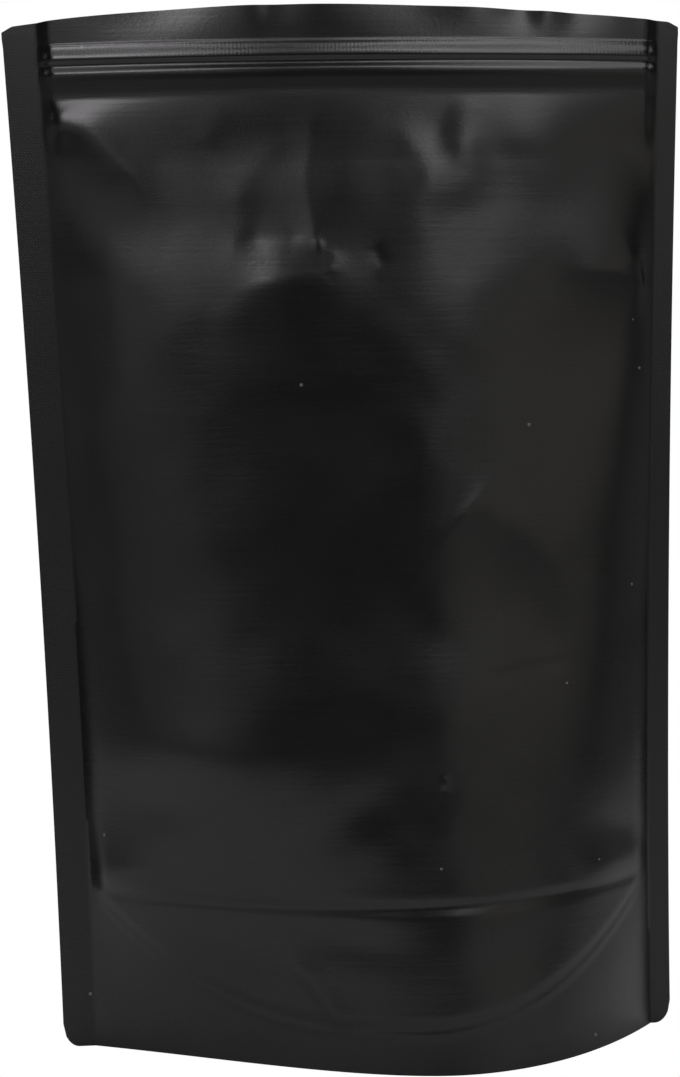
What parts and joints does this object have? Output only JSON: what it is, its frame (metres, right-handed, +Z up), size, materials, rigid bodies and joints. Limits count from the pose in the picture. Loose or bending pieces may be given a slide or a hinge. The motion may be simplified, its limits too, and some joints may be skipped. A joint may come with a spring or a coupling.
{
  "type": "stand-up pouch",
  "caption": "Tall matte film pouch with flat side seals, a press-to-close zipper under an open header, and a spread bottom gusset it stands on.",
  "frame": {"origin": "on the floor under the middle of the pouch's box", "axes": "+Z up, -Y is the front face that the picture shows, +X to the right as seen from the front"},
  "size_m": [0.1973, 0.0814, 0.3046],
  "materials": {
    "film": "matte black laminated film with a soft sheen",
    "zipper": "smooth black polyethylene strip"
  },
  "bodies": {
    "root": {"pouch": "film", "zipper": "zipper"}
  },
  "joints": []
}
